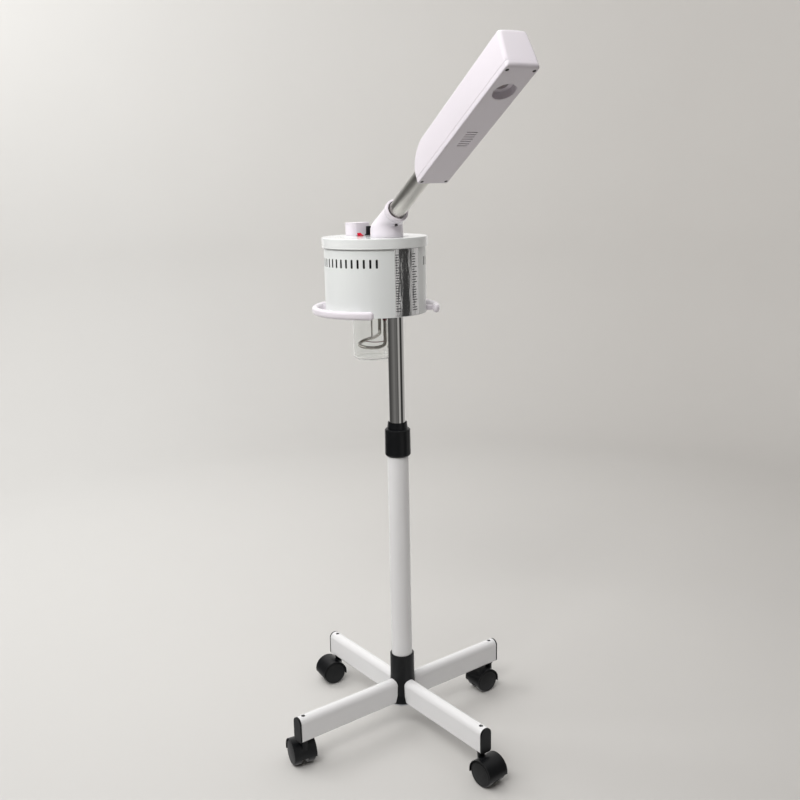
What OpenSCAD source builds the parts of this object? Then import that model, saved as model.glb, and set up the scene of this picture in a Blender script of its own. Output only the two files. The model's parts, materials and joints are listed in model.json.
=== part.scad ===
// Facial steamer on a four-armed rolling base.
// Origin: on the floor, under the middle of the object's bounding box. +Z up, -Y towards the
// person being treated. The modules are drawn about the column axis, and place() moves them.

/* [Base] */
// Distance from the column axis to the end of each arm tube
arm_reach = 252; // [235:1:275]
// Width of an arm tube
arm_w = 25; // [22:1:26]
// Height of an arm tube
arm_h = 50; // [46:1:54]
// Underside of the arms above the floor
arm_z = 59; // [57:1:62]
// Diameter of a caster wheel
wheel_d = 50; // [44:1:50]
// Rest direction of each caster, seen from above, in degrees from +X (arm at -Y, -X, +Y, +X)
caster_turn = [-87, 78, 171, 176];

/* [Column] */
// Diameter of the painted outer tube
outer_d = 42; // [40:1:44]
// Top of the painted outer tube
outer_top = 600; // [520:5:640]
// Diameter of the chrome inner tube
inner_d = 32; // [30:1:33]
// Lower end of the chrome inner tube
inner_bottom = 340; // [330:5:360]

/* [Housing] */
// Underside of the housing above the floor
body_z = 859; // [820:1:900]
// Height of the housing wall below the lid rim
body_h = 126; // [110:1:140]
// Diameter of the housing wall
body_d = 195; // [190:1:205]
// Distance of the housing axis behind the column axis
body_y = 61; // [58:1:62]
// Overhang of the lid rim beyond the wall
lid_lip = 3.5; // [3.5:0.5:6]
// Height of the lid rim
lid_h = 19; // [14:1:24]

/* [Jar] */
// Outside diameter of the glass jar
jar_d = 78; // [76:1:79]
// How far the jar hangs below the housing
jar_drop = 93; // [70:1:100]
// Distance of the jar axis behind the column axis
jar_y = 75; // [74:1:78]

/* [Steam arm] */
// Swivel of the steam arm away from straight ahead, in degrees
arm_swivel = -10.4; // [-60:0.1:60]
// Rise of the steam pipe above level, in degrees
arm_rise = 30.4; // [24:0.1:34]
// Diameter of the steam pipe
pipe_d = 32; // [30:1:33]
// Distance from the elbow axis to the near end of the head
head_start = 190; // [170:1:220]
// Length of the head
head_l = 314.6; // [280:0.2:330]
// Width of the head
head_w = 58; // [56:1:64]
// Height of the head
head_t = 62.4; // [58:1:66]

/* [Hidden] */

$fn = 96;
run_gap = 0.05;         // radial clearance of a running fit
seat_gap = 0.02;        // radial clearance of a seat that doesn't move

outer_r = outer_d / 2;
inner_r = inner_d / 2;
body_r = body_d / 2;
pipe_r = pipe_d / 2;
wheel_r = wheel_d / 2;
jar_r = jar_d / 2;

arm_top = arm_z + arm_h;
arm_start = 14;         // inner end of an arm tube, inside the hub
arm_wall = 1.5;
arm_top_round = 12;     // corner radius along the top of an arm
arm_low_round = 5;      // corner radius along the bottom of an arm
stem_x = arm_reach - 11;        // caster stem to column axis
access_hole_r = 4;      // hole in the top of an arm over the stem nut
socket_floor = arm_top + 3;     // floor of the socket that takes the outer tube
socket_top = socket_floor + 50;
hub_r = 24.5;
hub_skirt_r = 30;
clamp_screw_pos = 22.5; // clamp screws from the column axis
clamp_screw_r = 2;
bolt_r = 5;             // column bolt
tube_wall = 1.5;

cap_t = 3.5;            // end cap beyond the arm tube

caster_trail = 19;      // swivel axis to axle
hood_gap = 0.9;         // between a wheel and the hood over it
hood_wall = 1.7;
hood_r = wheel_r + hood_gap + hood_wall;
hood_w = 46;
web_w = 12;             // middle web between the two wheels
neck_r = 7;
stem_r = 5;
axle_r = 3;

collar_low = outer_top - 17;
collar_r = 25.2;
collar_shoulder = outer_top + 37;
collar_top = outer_top + 50;
collet_low = outer_top + 39.9;  // where the collet starts to taper
collet_top = outer_top + 44;

sheet = 1.2;            // sheet metal of the housing
rim_z = body_z + body_h;
lid_top = rim_z + lid_h;
lid_r = body_r + lid_lip;
shell_top = lid_top - 1.5;
floor_z = body_z + 0.2;         // underside of the bottom plate
floor_top = floor_z + 1.5;
slot_h = 16;
slot_w = 4;
slot_corner = 1;
slot_pitch = 7;         // degrees between two slots
slot_count = 17;
slot_z = rim_z - 26.5;  // middle of the row of slots
label_mid = -87.5;      // middle of the foil label, in degrees from +X
label_span = 34;
handle_in = 112;
handle_out = 124;
handle_h = 15.5;
handle_round = 5.9;     // corner radius of the handle section
handle_gap = 41;        // half the opening in front, in degrees
handle_tabs = [-148, -102, -56, 56, 102, 148];  // tabs, in degrees from -Y
tab_z = body_z + 6;     // middle of the tabs and their screws
handle_screw_r = 2;
inlet_z = body_z + 52;  // middle of the mains inlet

mount_r = 43;           // outside of the jar mount
boiler_top = body_z + 25;       // top of the jar mount
jar_rim = boiler_top - 3;
coil_r = 27;
coil_rod_r = 3.3;
coil_z = body_z - 69;
coil_tilt = 10;         // the coil rises towards its leads
coil_opening = 15;      // half angle between the leads
lead_x = coil_r * sin(coil_opening);
lead_y = -coil_r * cos(coil_opening) * cos(coil_tilt);
lead_low = coil_z + coil_r * cos(coil_opening) * sin(coil_tilt);
probe_pos = [4, 8];     // level probe from the jar axis
probe_r = 1.5;
probe_low = body_z - 58;

elbow_y = 21;
elbow_r = 31;           // foot of the elbow
pivot_z = lid_top + 23.6;       // where the pipe axis meets the swivel axis
spigot_r = 20.5;
elbow_screw_y = 34;     // locking screw under the pipe
elbow_screw_seat = -21;
riser_r = 10;
riser_y = 66;           // steam outlet of the boiler

switch_pos = [-15, 86];
timer_pos = [14, 93];
timer_shaft_r = 3;
wiring_pos = [5, 124];
wiring_h = 24.5;
wiring_size = [50, 30];
wiring_round = 14;      // corners of the box on the lid
wiring_wall = 2;
switch_w = 9.6;         // body of the switch below the lid
switch_l = 14.2;
rocker_z = lid_top - 2.5;       // axis of the rocker
rocker_w = 7.8;
pin_r = 1.2;            // pins that the rocker turns on

head_low = -28.5;       // underside of the head below the pipe axis
tray_h = 9;             // height of the seam above the underside
head_wall = 2.2;
head_end = head_start + head_l;
head_top_w = 49;
head_corner = 5;        // rounding along the top of the head and at its far end
end_round = 50;         // large round at the pipe end of the cover
nozzle_y = head_start + 254.4;
nozzle_r = 18.5;
vent_y = head_start + 133;      // middle of the row of vents under the head
nozzle_depth = 12;
duct_r = 12;            // steam duct inside the head
head_screw_x = 23;
head_screw_y = [head_start + 7, head_end - 11];

// Column axis from the middle of the bounding box
column_x = 5;
column_y = 76;

lilac = [0.90, 0.87, 0.91];
cool_white = [0.86, 0.89, 0.88];
gloss_white = [0.95, 0.95, 0.95];
steel = [0.72, 0.73, 0.74];
black = [0.12, 0.12, 0.13];

// ---------- shared shapes ----------

module place() translate([column_x, column_y, 0]) children();

module ring(r_out, r_in, h) {
    difference() {
        cylinder(r = r_out, h = h);
        translate([0, 0, -1]) cylinder(r = r_in, h = h + 2);
    }
}

// Rectangle with round corners, centred
module round_rect(w, h, r) {
    square([w - 2 * r, h], center = true);
    square([w, h - 2 * r], center = true);
    for (x = [-1, 1], y = [-1, 1])
        translate([x * (w / 2 - r), y * (h / 2 - r)]) circle(r = r);
}

// Section of an arm, standing on y = 0
module arm_outline(grow = 0) {
    w = arm_w + 2 * grow;
    h = arm_h + 2 * grow;
    top = arm_top_round + grow;
    low = arm_low_round + grow;
    translate([0, -grow]) {
        translate([-w / 2, low]) square([w, h - top - low]);
        translate([-w / 2 + low, 0]) square([w - 2 * low, h / 2]);
        translate([-w / 2 + top, h / 2]) square([w - 2 * top, h / 2]);
        for (x = [-1, 1]) {
            translate([x * (w / 2 - low), low]) circle(r = low);
            translate([x * (w / 2 - top), h - top]) circle(r = top);
        }
    }
}

// Arm number i lies along -Y, -X, +Y or +X; the child's +X points outwards
module on_arm(i) rotate([0, 0, -90 - 90 * i]) children();

// Child's +X becomes the length of an arm section drawn in the XY plane
module along_arm(x, len) translate([x, 0, arm_z]) rotate([90, 0, 90]) linear_extrude(len) children();

module at_body() translate([0, body_y, 0]) children();

module at_jar() translate([0, jar_y, 0]) children();

// Child's +Y runs along the pipe, +Z is the upper side of the head
module arm_frame()
    translate([0, elbow_y, pivot_z]) rotate([0, 0, 180 + arm_swivel]) rotate([arm_rise, 0, 0])
        children();

// Cylinder along the pipe from y = a to y = b
module pipe_rod(r, a, b) translate([0, a, 0]) rotate([-90, 0, 0]) cylinder(r = r, h = b - a);

// ---------- base ----------

module hub_socket() color(black)
    difference() {
        rotate_extrude() polygon([
            [bolt_r + 0.2, arm_z], [hub_skirt_r, arm_z], [hub_skirt_r, arm_z + 4], [hub_r + 2, arm_z + 17],
            [hub_r + 1, arm_top - 8], [hub_r, arm_top + 8], [hub_r, socket_top - 1],
            [hub_r - 1, socket_top], [outer_r + seat_gap, socket_top],
            [outer_r + seat_gap, socket_floor], [bolt_r + 0.2, socket_floor]
        ]);
        for (i = [0:3]) on_arm(i) along_arm(arm_start - 0.2, 40) arm_outline(0.1);
        for (a = [45:90:315]) rotate([0, 0, a]) translate([clamp_screw_pos, 0, arm_z - 1])
            cylinder(r = clamp_screw_r + 0.1, h = 16);
    }

module arm_tube()
    difference() {
        along_arm(arm_start, arm_reach - arm_start) difference() {
            arm_outline();
            arm_outline(-arm_wall);
        }
        translate([stem_x, 0, arm_top - 5]) cylinder(r = access_hole_r, h = 10);
        translate([stem_x, 0, arm_z - 5]) cylinder(r = stem_r + 0.2, h = 10);
    }

module base_arms() color(gloss_white)
    for (i = [0:3]) on_arm(i) arm_tube();

module arm_end_caps() color(black)
    for (i = [0:3]) on_arm(i) {
        along_arm(arm_reach + 0.05, cap_t) arm_outline();
        along_arm(arm_reach - 3, 3.1) difference() {
            arm_outline(-arm_wall - 0.1);
            arm_outline(-arm_wall - 2);
        }
    }

module hub_clamp_plate() color(steel)
    difference() {
        translate([0, 0, arm_z - 3.05]) cylinder(r = hub_skirt_r - 1, h = 3);
        translate([0, 0, arm_z - 5]) cylinder(r = bolt_r + 0.1, h = 10);
        for (a = [45:90:315]) rotate([0, 0, a]) translate([clamp_screw_pos, 0, arm_z - 5])
            cylinder(r = clamp_screw_r + 0.6, h = 10);
    }

module clamp_screws() color(steel)
    for (a = [45:90:315]) rotate([0, 0, a]) translate([clamp_screw_pos, 0, arm_z - 3.1]) {
        cylinder(r = clamp_screw_r, h = 17);
        translate([0, 0, -2.5]) ring(4.2, 1.5, 2.5);
        translate([0, 0, -1.2]) cylinder(r = 2.5, h = 1.25);
    }

module column_bolt() color(steel) {
    translate([0, 0, arm_z - 9.2]) cylinder(r = 9, h = 6.1, $fn = 6);
    translate([0, 0, arm_z - 4]) cylinder(r = bolt_r, h = socket_floor - arm_z + 15);
}

module outer_tube() color(gloss_white)
    translate([0, 0, socket_floor + 0.05]) {
        ring(outer_r, outer_r - tube_wall, outer_top - socket_floor - 0.05);
        ring(outer_r - tube_wall / 2, bolt_r + seat_gap, 8);
    }

module collet_bush() color(black)
    difference() {
        union() {
            translate([0, 0, outer_top - 40]) cylinder(r = outer_r - tube_wall - run_gap, h = 41);
            translate([0, 0, outer_top + 0.05]) cylinder(r = outer_r, h = 6);
            translate([0, 0, outer_top + 5]) cylinder(r = inner_r + 1.8, h = 35);
            translate([0, 0, collet_low])
                cylinder(r1 = inner_r + 1.8, r2 = inner_r + 1, h = collet_top - collet_low);
        }
        translate([0, 0, outer_top - 60]) cylinder(r = inner_r + run_gap, h = 130);
        for (a = [0:90:270]) rotate([0, 0, a]) translate([0, -0.75, outer_top + 12])
            cube([30, 1.5, 60]);
    }

module caster_stem()
    translate([stem_x, 0, 0]) {
        translate([0, 0, 41]) cylinder(r = stem_r, h = arm_z + 17 - 41);
        translate([0, 0, arm_z - 2.05]) cylinder(r = 9, h = 2);
        translate([0, 0, arm_z + arm_wall + 0.05]) cylinder(r = 7.5, h = 6, $fn = 6);
    }

module caster_stems() color(steel)
    for (i = [0:3]) on_arm(i) caster_stem();

// Twist nut with three broad lobes divided by shallow grooves
module lock_collar() color(black)
    difference() {
        rotate_extrude() polygon([
            [outer_r + run_gap, collar_low], [collar_r - 2.5, collar_low],
            [collar_r, collar_low + 3], [collar_r - 0.4, collar_shoulder - 2],
            [collar_r - 2, collar_shoulder], [inner_r + 4, collar_shoulder + 0.5],
            [inner_r + 2.6, collar_top], [inner_r + 0.6, collar_top - 4],
            [inner_r + 1.2, collet_top + 0.2], [inner_r + 1.9, outer_top + 40],
            [inner_r + 1.9, outer_top + 7], [outer_r + run_gap, outer_top + 7]
        ]);
        for (a = [53, 173, 293]) rotate([0, 0, a])
            translate([collar_r + 0.9, 0, collar_low - 1]) cylinder(r = 2, h = 60);
    }

module glide_bush() color(gloss_white)
    translate([0, 0, inner_bottom + 3])
        ring(outer_r - tube_wall - run_gap, inner_r + run_gap, 30);

// ---------- mast ----------

module inner_tube() color(steel)
    difference() {
        union() {
            translate([0, 0, inner_bottom]) cylinder(r = inner_r, h = body_z + 33 - inner_bottom);
            for (z = [0, 34]) translate([0, 0, inner_bottom + z]) cylinder(r = inner_r + 2, h = 2.5);
        }
        translate([0, 0, inner_bottom - 1]) cylinder(r = inner_r - tube_wall, h = 700);
    }

module tube_socket() color(steel)
    difference() {
        union() {
            translate([0, 0, floor_top + 0.05]) cylinder(r = 27, h = 3);
            translate([0, 0, floor_top + 2]) cylinder(r = inner_r + 3.5, h = 36);
        }
        translate([0, 0, body_z - 5]) cylinder(r = inner_r + seat_gap, h = 38.1);
        translate([0, 0, body_z]) cylinder(r = inner_r - 3, h = 60);
    }

module bottom_plate() color(cool_white)
    difference() {
        at_body() translate([0, 0, floor_z]) cylinder(r = body_r - sheet - 0.1, h = 1.5);
        translate([0, 0, body_z - 5]) cylinder(r = inner_r + 0.5, h = 10);
        at_jar() translate([0, 0, body_z - 5]) cylinder(r = mount_r + 0.2, h = 10);
    }

module vent_slot()
    translate([body_r - 5, 0, slot_z]) rotate([90, 0, 90]) linear_extrude(10)
        round_rect(slot_w, slot_h, slot_corner);

module body_shell() color(cool_white)
    at_body() difference() {
        translate([0, 0, body_z]) ring(body_r, body_r - sheet, shell_top - body_z);
        for (side = [0, 180], i = [0:slot_count - 1])
            rotate([0, 0, side + (i - (slot_count - 1) / 2) * slot_pitch]) vent_slot();
        for (a = handle_tabs) rotate([0, 0, a - 90]) translate([body_r - 10, 0, tab_z])
            rotate([0, 90, 0]) cylinder(r = handle_screw_r + 0.1, h = 20);
        translate([0, body_r, inlet_z]) cube([28.4, 20, 20.4], center = true);
    }

module lid() color(gloss_white)
    difference() {
        at_body() rotate_extrude() polygon([
            [0, lid_top], [lid_r - 1.5, lid_top], [lid_r - 0.4, lid_top - 0.5],
            [lid_r, lid_top - 1.6], [lid_r, rim_z], [lid_r - sheet, rim_z],
            [lid_r - sheet, lid_top - 1.4], [0, lid_top - 1.4]
        ]);
        translate([0, elbow_y, rim_z]) cylinder(r = spigot_r + run_gap, h = 40);
        translate([timer_pos[0], timer_pos[1], rim_z]) cylinder(r = 5, h = 40);
        translate([switch_pos[0], switch_pos[1], lid_top])
            cube([switch_w + 0.2, switch_l + 0.2, 10], center = true);
        translate([wiring_pos[0], wiring_pos[1], rim_z]) cylinder(r = 7, h = 40);
    }

module lid_seal() color(black)
    at_body() translate([0, 0, rim_z + 2]) ring(lid_r - sheet - seat_gap, body_r + seat_gap, 4);

module panel_overlay() color(gloss_white)
    difference() {
        at_body() translate([0, 0, lid_top + 0.02]) cylinder(r = 66, h = 0.5);
        translate([0, elbow_y, lid_top - 1]) cylinder(r = elbow_r + 0.6, h = 5);
        translate([timer_pos[0], timer_pos[1], lid_top - 1]) cylinder(r = 5, h = 5);
        translate([switch_pos[0], switch_pos[1], lid_top])
            cube([switch_w + 2.4, switch_l + 2.4, 5], center = true);
        translate([-40, wiring_pos[1] - 15.4, lid_top - 1]) cube([80, 60, 5]);
    }

module foil_label() color(steel)
    at_body() rotate([0, 0, label_mid - label_span / 2]) rotate_extrude(angle = label_span)
        translate([body_r + seat_gap, body_z + 1]) square([0.25, body_h - 2]);

// Section of the handle ring about its own middle
module handle_section() round_rect(handle_out - handle_in, handle_h, handle_round);

module handle_ring() color(lilac) {
    mid = (handle_in + handle_out) / 2;
    nose_r = (handle_out - handle_in) / 2;
    at_body() translate([0, 0, body_z - 0.4 + handle_h / 2]) {
        rotate([0, 0, -90 + handle_gap]) rotate_extrude(angle = 360 - 2 * handle_gap)
            translate([mid, 0]) handle_section();
        for (s = [-1, 1]) rotate([0, 0, -90 + s * handle_gap]) translate([mid, 0, 0])
            rotate_extrude() intersection() {
                handle_section();
                translate([0, -handle_h]) square([nose_r, 2 * handle_h]);
            }
    }
    for (a = handle_tabs) at_body() rotate([0, 0, a - 90]) difference() {
        translate([body_r + 0.1, -5, tab_z - 4.5]) cube([handle_in + 2 - body_r, 10, 9]);
        translate([body_r - 5, 0, tab_z]) rotate([0, 90, 0])
            cylinder(r = handle_screw_r + seat_gap, h = 14);
    }
}

module handle_screws() color(steel)
    for (a = handle_tabs) at_body() rotate([0, 0, a - 90]) translate([0, 0, tab_z])
        rotate([0, 90, 0]) {
            translate([0, 0, body_r - sheet - 2.3]) cylinder(r = 3.6, h = 2.2);
            translate([0, 0, body_r - sheet - 1]) cylinder(r = handle_screw_r, h = 10);
        }

module jar_mount() color(black)
    at_jar() {
        translate([0, 0, body_z - 2]) ring(mount_r, jar_r + 1 + run_gap, boiler_top - body_z + 2);
        translate([0, 0, floor_top + 0.05]) ring(mount_r + 3, mount_r - 1, 3);
    }

module boiler_cap() color(steel)
    difference() {
        at_jar() translate([0, 0, boiler_top + 0.05]) cylinder(r = mount_r, h = 2);
        for (s = [-1, 1]) at_jar() translate([s * lead_x, lead_y, body_z])
            cylinder(r = coil_rod_r + seat_gap, h = 60);
        translate([0, riser_y, body_z]) cylinder(r = riser_r - 2, h = 60);
        at_jar() translate([probe_pos[0], probe_pos[1], body_z]) cylinder(r = probe_r + seat_gap, h = 60);
    }

// Tilted ring with two straight leads on the column side
module heating_element() color(steel)
    at_jar() {
        translate([0, 0, coil_z]) rotate([-coil_tilt, 0, 0])
            rotate([0, 0, -90 + coil_opening]) rotate_extrude(angle = 360 - 2 * coil_opening)
                translate([coil_r, 0]) circle(r = coil_rod_r);
        for (s = [-1, 1]) translate([s * lead_x, lead_y, lead_low]) {
            sphere(r = coil_rod_r + 0.2);
            cylinder(r = coil_rod_r, h = boiler_top + 12 - lead_low);
        }
    }

module level_probe() color(steel)
    at_jar() translate([probe_pos[0], probe_pos[1], 0]) {
        translate([0, 0, probe_low]) cylinder(r = probe_r, h = boiler_top + 10 - probe_low);
        translate([0, 0, boiler_top + 2.1]) ring(3.5, probe_r, 5);
    }

// Bent hose as rods and ball joints between points [y, z]
riser_path = [[riser_y, boiler_top + 2.1], [riser_y, body_z + 51],
              [elbow_y, body_z + 85], [elbow_y, lid_top - 6]];
module riser_solid(r) {
    for (i = [0:2]) {
        a = riser_path[i];
        b = riser_path[i + 1];
        d = b - a;
        translate([0, a[0], a[1]]) rotate([-atan2(d[0], d[1]), 0, 0]) cylinder(r = r, h = norm(d));
    }
    for (i = [1:2]) translate([0, riser_path[i][0], riser_path[i][1]]) sphere(r = r);
}

module steam_riser() color([0.85, 0.83, 0.78])
    difference() {
        riser_solid(riser_r);
        riser_solid(riser_r - 2);
        translate([0, riser_y, boiler_top]) cylinder(r = riser_r - 2, h = 20);
        translate([0, elbow_y, lid_top - 20]) cylinder(r = riser_r - 2, h = 20);
    }

module steam_seal() color(black)
    translate([0, elbow_y, lid_top - 19]) ring(16 - run_gap, riser_r + seat_gap, 6);

module control_board() color([0.10, 0.38, 0.22]) {
    translate([50, 34, body_z + 12]) cube([26, 54, 1.6]);
    for (x = [53, 73], y = [38, 84]) translate([x, y, floor_top + 0.05])
        cylinder(r = 2.5, h = body_z + 12.5 - floor_top);
    translate([53, 58, body_z + 13]) cube([20, 22, 20]);
    translate([56, 42, body_z + 13]) cylinder(r = 4, h = 15);
    translate([68, 44, body_z + 13]) cube([8, 10, 12], center = true);
}

module wiring_cover() color(lilac)
    translate([wiring_pos[0], wiring_pos[1], lid_top + 0.05]) difference() {
        linear_extrude(wiring_h) round_rect(wiring_size[0], wiring_size[1], wiring_round);
        translate([0, 0, -1]) linear_extrude(wiring_h)
            round_rect(wiring_size[0] - 2 * wiring_wall, wiring_size[1] - 2 * wiring_wall,
                wiring_round - wiring_wall);
    }

module power_inlet() color(black)
    translate([0, body_y + body_r, inlet_z]) difference() {
        union() {
            translate([0, -8, 0]) cube([28, 22, 20], center = true);
            translate([0, 1.65, 0]) cube([34, 3, 26], center = true);
        }
        cube([24, 26, 16], center = true);
    }

module switch_frame() color(black)
    translate([switch_pos[0], switch_pos[1], 0]) difference() {
        union() {
            translate([0, 0, lid_top + 0.02]) linear_extrude(0.9)
                square([switch_w + 1.8, switch_l + 1.8], center = true);
            translate([0, 0, lid_top - 18]) linear_extrude(18.5)
                square([switch_w, switch_l], center = true);
        }
        translate([0, 0, lid_top - 12]) linear_extrude(20)
            square([rocker_w + 0.4, switch_l - 1.6], center = true);
        translate([-switch_w, 0, rocker_z]) rotate([0, 90, 0])
            cylinder(r = pin_r + run_gap, h = 2 * switch_w);
    }

module timer_unit() color(steel)
    translate([timer_pos[0], timer_pos[1], lid_top - 30]) difference() {
        cylinder(r = 20, h = 28.5);
        translate([0, 0, 14]) cylinder(r = timer_shaft_r + run_gap, h = 20);
    }

// Rocker that pivots about the X axis on two pins, raised at its far end
module power_rocker() color([0.85, 0.10, 0.16])
    translate([switch_pos[0], switch_pos[1], rocker_z]) rotate([90, 0, 90]) {
        translate([0, 0, -rocker_w / 2]) linear_extrude(rocker_w) polygon([
            [-6, 0.5], [-2.4, -2.5], [2.4, -2.5], [6, 0.5], [5.1, 4.9], [4.9, 8.2], [3.9, 8.6],
            [0, 5.9], [-5.2, 4.3]
        ]);
        translate([0, 0, -switch_w / 2]) cylinder(r = pin_r, h = switch_w);
    }

module timer_knob() color(black)
    translate([timer_pos[0], timer_pos[1], 0]) {
        translate([0, 0, lid_top - 14]) cylinder(r = timer_shaft_r, h = 20);
        difference() {
            translate([0, 0, lid_top + 0.8]) rotate_extrude() polygon([
                [0, 0], [11, 0], [11, 1.6], [9, 2.2], [8.6, 16], [7.6, 17], [0, 17]
            ]);
            for (a = [0:20:340]) rotate([0, 0, a]) translate([9.6, 0, lid_top + 4])
                cylinder(r = 1, h = 20);
        }
    }

// ---------- jar ----------

module jar_gasket() color([0.80, 0.78, 0.72])
    at_jar() translate([0, 0, jar_rim + 0.05]) ring(jar_r, jar_r - 5, 2.9);

module glass_jar() color([0.85, 0.92, 0.93, 0.35])
    at_jar() {
        low = body_z - jar_drop;
        round = 7;
        rotate_extrude() {
            difference() {
                union() {
                    translate([0, low + 2]) square([jar_r - round, round]);
                    translate([0, low + 2 + round]) square([jar_r, jar_rim - low - 2 - round]);
                    translate([jar_r - round, low + 2 + round]) circle(r = round);
                }
                translate([0, low + 2 + round]) square([jar_r - 2.5, 200]);
                translate([0, low + 4.5]) square([jar_r - round, round]);
                translate([jar_r - round, low + 2 + round]) circle(r = round - 2.5);
            }
            translate([jar_r - round - 5, low]) square([4, 3]);
            translate([0, low - 2.5]) square([2.2, 5]);
        }
    }

module jar_ring() color(steel)
    at_jar() translate([0, 0, jar_rim - 16]) ring(jar_r + 1 - run_gap, jar_r + seat_gap, 13);

// ---------- steam elbow ----------

module elbow_outside()
    hull() {
        translate([0, elbow_y, lid_top + 0.1]) cylinder(r = elbow_r, h = 13, $fn = 48);
        translate([0, elbow_y, lid_top + 26]) cylinder(r = 24, h = 2, $fn = 48);
        arm_frame() translate([0, 40, 0]) rotate([-90, 0, 0]) cylinder(r = 20.5, h = 4, $fn = 48);
    }

module steam_elbow() color(lilac)
    difference() {
        union() {
            elbow_outside();
            arm_frame() pipe_rod(22.5, 43, 53);
            translate([0, elbow_y, lid_top - 21]) cylinder(r = spigot_r, h = 24);
        }
        translate([0, elbow_y, lid_top - 30]) cylinder(r = 16, h = 48);
        arm_frame() pipe_rod(pipe_r + run_gap, 4, 60);
        arm_frame() pipe_rod(pipe_r + 2.2, 49, 60);
        arm_frame() translate([0, elbow_screw_y, -40]) {
            cylinder(r = 2 + seat_gap, h = 40);
            cylinder(r = 3.4, h = 40.05 + elbow_screw_seat);
        }
    }

module elbow_nut() color(steel)
    translate([0, elbow_y, lid_top - 7]) ring(28, spigot_r + seat_gap, 5.4);

module elbow_screw() color(black)
    arm_frame() translate([0, elbow_screw_y, elbow_screw_seat]) {
        translate([0, 0, -0.2]) cylinder(r = 2, h = 0.1 - elbow_screw_seat - pipe_r);
        translate([0, 0, -0.9]) ring(3.2, 1.2, 0.9);
    }

// ---------- steam head ----------

module steam_pipe() color(steel)
    arm_frame() difference() {
        pipe_rod(pipe_r, 12, head_start + 36);
        pipe_rod(pipe_r - 1.2, 0, head_start + 60);
    }

// Side view of the head, inset by d, drawn as [y, z]
module head_side(d)
    translate([head_start, head_low]) {
        r = end_round - d;
        tip = head_corner - d;
        tip_low = 6 - d;
        far = head_l - d;
        top = head_t - d;
        polygon(concat(
            [[d, d]],
            [for (a = [-90:18:0]) [far - tip_low + tip_low * cos(a), d + tip_low + tip_low * sin(a)]],
            [for (a = [0:15:90]) [far - tip + tip * cos(a), top - tip + tip * sin(a)]],
            [for (a = [90:7.5:180]) [d + r + r * cos(a), top - r + r * sin(a)]]
        ));
    }

// End view of the head, inset by d, drawn as [x, z]: sides curve in towards a narrower top
module head_section(d)
    translate([0, head_low]) {
        r = head_corner - d;
        half_low = head_w / 2 - d;
        half_top = head_top_w / 2 - d;
        top = head_t - d;
        side = [
            [half_low - 2, d], [half_low, d + 2],
            for (t = [0.25:0.25:0.75]) [half_low - (half_low - half_top) * t * t, (top - r) * t],
            for (a = [0:15:90]) [half_top - r + r * cos(a), top - r + r * sin(a)]
        ];
        n = len(side);
        polygon(concat(side, [for (i = [n - 1:-1:0]) [-side[i][0], side[i][1]]]));
    }

module head_solid(d)
    intersection() {
        translate([100, 0, 0]) rotate([90, 0, -90]) mirror([1, 0, 0]) linear_extrude(200) head_side(d);
        translate([0, head_start - 50, 0]) rotate([90, 0, 180]) linear_extrude(head_l + 100)
            head_section(d);
    }

module above_seam(z) translate([-100, head_start - 20, z]) cube([200, head_l + 60, 100]);

module head_base() color(lilac)
    arm_frame() difference() {
        union() {
            difference() {
                head_solid(0);
                above_seam(head_low + tray_h);
                intersection() {
                    head_solid(head_wall);
                    translate([-100, head_start, head_low + 2.4]) cube([200, head_l, 100]);
                }
            }
            for (y = [head_start + 14, head_start + 30]) translate([-17, y, head_low + 1])
                cube([34, 3, 22]);
            for (x = head_screw_x * [-1, 1], y = head_screw_y) translate([x, y, head_low + 1])
                cylinder(r = 4.2, h = tray_h - 1);
        }
        pipe_rod(pipe_r + seat_gap, head_start, head_start + 50);
        translate([0, nozzle_y, head_low - 5]) cylinder(r = nozzle_r + 1.5 + seat_gap, h = 20);
        for (i = [-3:3]) translate([0, vent_y + 6.2 * i, head_low])
            cube([20, 1.8, 20], center = true);
        for (x = head_screw_x * [-1, 1], y = head_screw_y) translate([x, y, head_low - 5]) {
            cylinder(r = 1.7, h = 30);
            cylinder(r = 3, h = 6.8);
        }
    }

module head_cover() color(lilac)
    arm_frame() difference() {
        union() {
            intersection() {
                difference() {
                    head_solid(0);
                    head_solid(head_wall);
                }
                above_seam(head_low + tray_h + 0.1);
            }
            for (x = head_screw_x * [-1, 1], y = head_screw_y) translate([x, y, head_low + tray_h + 0.1])
                cylinder(r = 4, h = 20);
        }
        pipe_rod(pipe_r + 0.15, head_start - 10, head_start + 40);
        for (x = head_screw_x * [-1, 1], y = head_screw_y) translate([x, y, head_low])
            cylinder(r = 1.5 + seat_gap, h = 26);
    }

module head_screws() color(black)
    arm_frame() for (x = head_screw_x * [-1, 1], y = head_screw_y) translate([x, y, head_low]) {
        translate([0, 0, 0.2]) cylinder(r = 2.8, h = 1.5);
        cylinder(r = 1.5, h = 24);
    }

// Cup that sits in the underside of the head and gives the jet its shape
module outlet_nozzle() color(lilac)
    arm_frame() translate([0, nozzle_y, head_low]) {
        translate([0, 0, 0.1]) ring(nozzle_r + 1.5, nozzle_r, nozzle_depth);
        translate([0, 0, nozzle_depth - 0.5]) ring(nozzle_r + 1.5, duct_r - 2, 2);
        translate([0, 0, 2.5]) ring(nozzle_r + 4, nozzle_r + 1, 1.5);
        translate([0, 0, nozzle_depth])
            ring(duct_r, duct_r - 2, -head_low - nozzle_depth - duct_r - 0.2);
    }

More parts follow.
